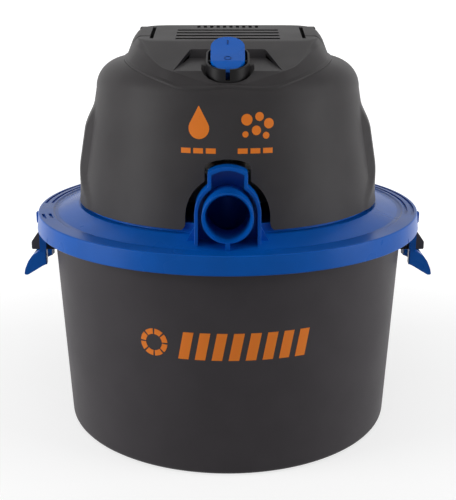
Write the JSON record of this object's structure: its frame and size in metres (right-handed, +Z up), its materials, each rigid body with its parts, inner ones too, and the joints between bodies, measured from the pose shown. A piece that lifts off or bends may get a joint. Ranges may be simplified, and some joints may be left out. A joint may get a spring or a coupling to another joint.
{
  "type": "wet and dry shop vacuum",
  "caption": "Compact tub vacuum: tapered drum, flanged lid with a front hose port, domed motor head, folding carry handle, rocker switch and side latches.",
  "frame": {"origin": "centre of the drum's flat base, on the floor", "axes": "+Z up along the drum's axis, -Y towards the hose port, +X to the right seen from the port's side"},
  "size_m": [0.339, 0.313, 0.321],
  "materials": {
    "charcoal_plastic": "satin, fine grain",
    "graphite_plastic": "satin, fine grain",
    "blue_plastic": "semi-gloss",
    "dark_plastic": "matte",
    "white_plastic": "matte",
    "rubber": "matte",
    "foam": "open-cell foam",
    "steel": "ground",
    "copper": "enamelled copper",
    "carbon": "pressed carbon",
    "aluminium": "cast"
  },
  "bodies": {
    "drum": {"drum": "charcoal_plastic"},
    "head": {"lid": "blue_plastic", "drum_gasket": "rubber", "inlet_deflector": "dark_plastic", "motor_housing": "graphite_plastic", "top_cover": "graphite_plastic", "exhaust_grille": "dark_plastic", "exhaust_duct": "dark_plastic", "cord_gland": "rubber", "switch_bezel": "graphite_plastic", "switch_body": "dark_plastic", "rocker_pin": "steel", "latch_pin_left": "steel", "handle_pin_left": "steel", "latch_pin_right": "steel", "handle_pin_right": "steel", "motor_gasket": "rubber", "fan_case": "white_plastic", "fan_cover": "aluminium", "lower_bearing": "steel", "stator_core": "steel", "upper_bracket": "aluminium", "upper_bearing": "steel", "brush_holder_front": "copper", "brush_holder_rear": "copper", "carbon_brush_front": "carbon", "carbon_brush_rear": "carbon", "field_coil_right": "copper", "field_coil_left": "copper", "filter_cage": "dark_plastic", "cage_cap": "dark_plastic", "foam_sleeve": "foam", "foam_band": "rubber", "housing_screw_1": "steel", "housing_screw_2": "steel", "housing_screw_3": "steel", "housing_screw_4": "steel", "cage_screw_1": "steel", "cage_screw_2": "steel", "cage_screw_3": "steel", "motor_screw_1": "steel", "motor_screw_2": "steel", "motor_screw_3": "steel"},
    "rotor": {"motor_shaft": "steel", "impeller": "aluminium", "fan_nut": "steel", "armature_core": "steel", "armature_windings": "copper", "commutator": "copper", "cooling_fan": "dark_plastic"},
    "float": {"float_cup": "white_plastic"},
    "latch_left": {"latch_left": "blue_plastic"},
    "latch_right": {"latch_right": "blue_plastic"},
    "handle": {"carry_handle": "graphite_plastic"},
    "rocker": {"switch_rocker": "blue_plastic"}
  },
  "joints": [
    {"name": "head_lift", "type": "slide", "parent": "drum", "child": "head", "axis": [0, 0, 1], "range_m": [0, 0.12]},
    {"name": "latch_right_hinge", "type": "hinge", "parent": "head", "child": "latch_right", "pos_m": [0.1528, 0, 0.169], "axis": [0, -1, 0], "range_deg": [0, 80]},
    {"name": "latch_left_hinge", "type": "hinge", "parent": "head", "child": "latch_left", "pos_m": [-0.1528, 0, 0.169], "axis": [0, 1, 0], "range_deg": [0, 80]},
    {"name": "handle_hinge", "type": "hinge", "parent": "head", "child": "handle", "pos_m": [0, -0.0095, 0.309], "axis": [1, 0, 0], "range_deg": [0, 72]},
    {"name": "rocker_hinge", "type": "hinge", "parent": "head", "child": "rocker", "pos_m": [0, -0.0747, 0.2995], "axis": [-1, 0, 0], "range_deg": [0, 24]},
    {"name": "rotor_spin", "type": "hinge", "parent": "head", "child": "rotor", "pos_m": [0, 0, 0.246], "axis": [0, 0, 1], "continuous": true},
    {"name": "float_lift", "type": "slide", "parent": "head", "child": "float", "axis": [0, 0, 1], "range_m": [0, 0.055]}
  ]
}
